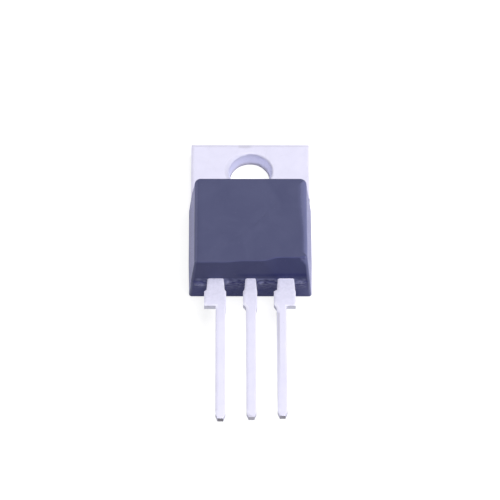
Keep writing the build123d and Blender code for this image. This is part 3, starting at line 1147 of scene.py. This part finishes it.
def wall_vertex(mesh, place, height, inset, edge, left_over=1.0):
    """Vertex on the skin at a place of the perimeter, with its masks; lengths in metres."""
    number, share = place
    point, out = wall_place(height, number, share)
    on_end = number == 0 and share <= 1
    x, y, level = point.x / MM, point.y / MM, height / MM
    relief, pale = end_relief(x, level) if on_end else (0.0, 0.0)
    fade = smooth(min(share, 1 - share), 0, 0.02)
    spot = point + out * (relief * fade * MM - inset)
    vertex = mesh.verts.new((spot.x, spot.y, height))
    masks = (edge * (0.5 if on_end else 1), pale * fade)
    masks += skin_masks(x, y, level, out, on_end, left_over)
    for name, value in zip(epoxy_masks, masks):
        vertex[mesh.verts.layers.float[name]] = value
    return vertex


def front_edge_rows(mesh, places, steps=6):
    """Rows over the rounded front edge."""
    rows = []
    for step in range(steps + 1):
        turn = math.pi / 2 * step / steps
        row = []
        for place in places:
            reach = edge_reach(*place) * MM
            height = moulding_high.z - reach.y * (1 - math.sin(turn))
            inset = reach.x * (1 - math.cos(turn))
            edge = 0.9 * math.sin(2 * turn)
            row.append(wall_vertex(mesh, place, height, inset, edge, 1 - step / steps))
        rows.append(row)
    return rows


def front_face_rows(mesh, edge_row, depth=0.012 * MM):
    """Rows that close in over the slightly sunk front face."""
    last = [vertex.co.copy() for vertex in edge_row]
    middle = sum(last, Vector()) / len(last)
    sink = Vector((0, 0, depth))
    rows = []
    for share in (0.985, 0.95, 0.88, 0.78, 0.65, 0.5, 0.35, 0.2, 0.08):
        places = [middle + (point - middle) * share - sink * (1 - share * share) for point in last]
        rows.append([mesh.verts.new(place) for place in places])
    return rows


mesh = new_masked_mesh(*epoxy_masks)
places = perimeter_shares()
rows = []
for height, inset, edge in block_rows():
    rows.append([wall_vertex(mesh, place, height * MM, inset * MM, edge) for place in places])
rows += front_edge_rows(mesh, places)
rows += front_face_rows(mesh, rows[-1])
skin_rows(mesh, rows)
mesh.faces.new(rows[-1])
mesh.faces.new(list(reversed(rows[0])))
epoxy_block = finish_mesh(mesh, "epoxy_block", [epoxy])
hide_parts("moulding")

# %% [markdown]
# ## Inside the block
# Nothing inside is seen from outside, but whoever opens the block in a section should see
# what it is made of. The solids stay as they are and only get a finish: grey solder, copper
# foil, sandy white alumina, dark polished silicon, green-grey glass and bright wire.


# %% Finish of an inner piece
def make_inner(name, low, high, rough, grain_mm, stretch=(1, 1, 1), depth=0.004, **plain):
    """Finish whose colour runs between two tones in patches, over a grain of its own size."""
    material, tree, shader, place = new_finish(name, **plain)
    patches = use_group(tree, patch_group, place, Per_mm=1.6)
    grain = use_group(tree, grain_group, place, Per_mm=1 / grain_mm, Stretch=stretch)
    dots = use_group(tree, speck_group, place, Per_mm=6.0, Share=0.15, Size=0.25)
    dot_color = [0.7 * value for value in low]
    color = layered_color(tree, (patches, low, high), [(dots, 0.25, dot_color)])
    feed(shader, {"Base Color": color, "Roughness": spread_value(tree, grain, *rough)})
    set_bump(tree, shader, [(grain, 0.8), (dots, -0.4)], depth)
    return material


def dress(material, *names):
    """Gives a finish to solids of the frame."""
    for name in names:
        nodes[name].data.materials.clear()
        nodes[name].data.materials.append(material)
    print(material.name, "on", ", ".join(names))


# %% [markdown]
# ### Who wears what
# Metals are fully metallic and differ in their grain; wire and foil are drawn along Y.

# %% Finishes of the inner pieces
dress(make_inner(
    "solder", (0.42, 0.43, 0.45), (0.52, 0.53, 0.54), (0.35, 0.55), 0.08, Metallic=1.0,
), "insulator_solder_lower", "insulator_solder_upper", "chip_solder")
dress(make_inner(
    "copper_foil", (0.78, 0.40, 0.25), (0.86, 0.48, 0.31), (0.25, 0.45), 0.12,
    stretch=(1, 0.1, 1), Metallic=1.0,
), "insulator_foil_lower", "insulator_foil_upper")
dress(make_inner(
    "alumina", (0.74, 0.73, 0.70), (0.82, 0.81, 0.78), (0.55, 0.75), 0.03,
), "insulator_ceramic")
dress(make_inner(
    "silicon", (0.10, 0.11, 0.13), (0.14, 0.15, 0.17), (0.12, 0.25), 0.25, depth=0.001,
    Metallic=0.7,
), "thyristor_chip")
dress(make_inner(
    "seal_glass", (0.16, 0.24, 0.20), (0.22, 0.31, 0.26), (0.08, 0.18), 0.3, depth=0.002,
), "passivation_glass")
dress(make_inner(
    "drawn_aluminium", (0.76, 0.77, 0.78), (0.85, 0.85, 0.86), (0.25, 0.40), 0.05,
    stretch=(1, 0.15, 1), Metallic=1.0,
), "cathode_wire_left", "cathode_wire_right", "gate_wire")
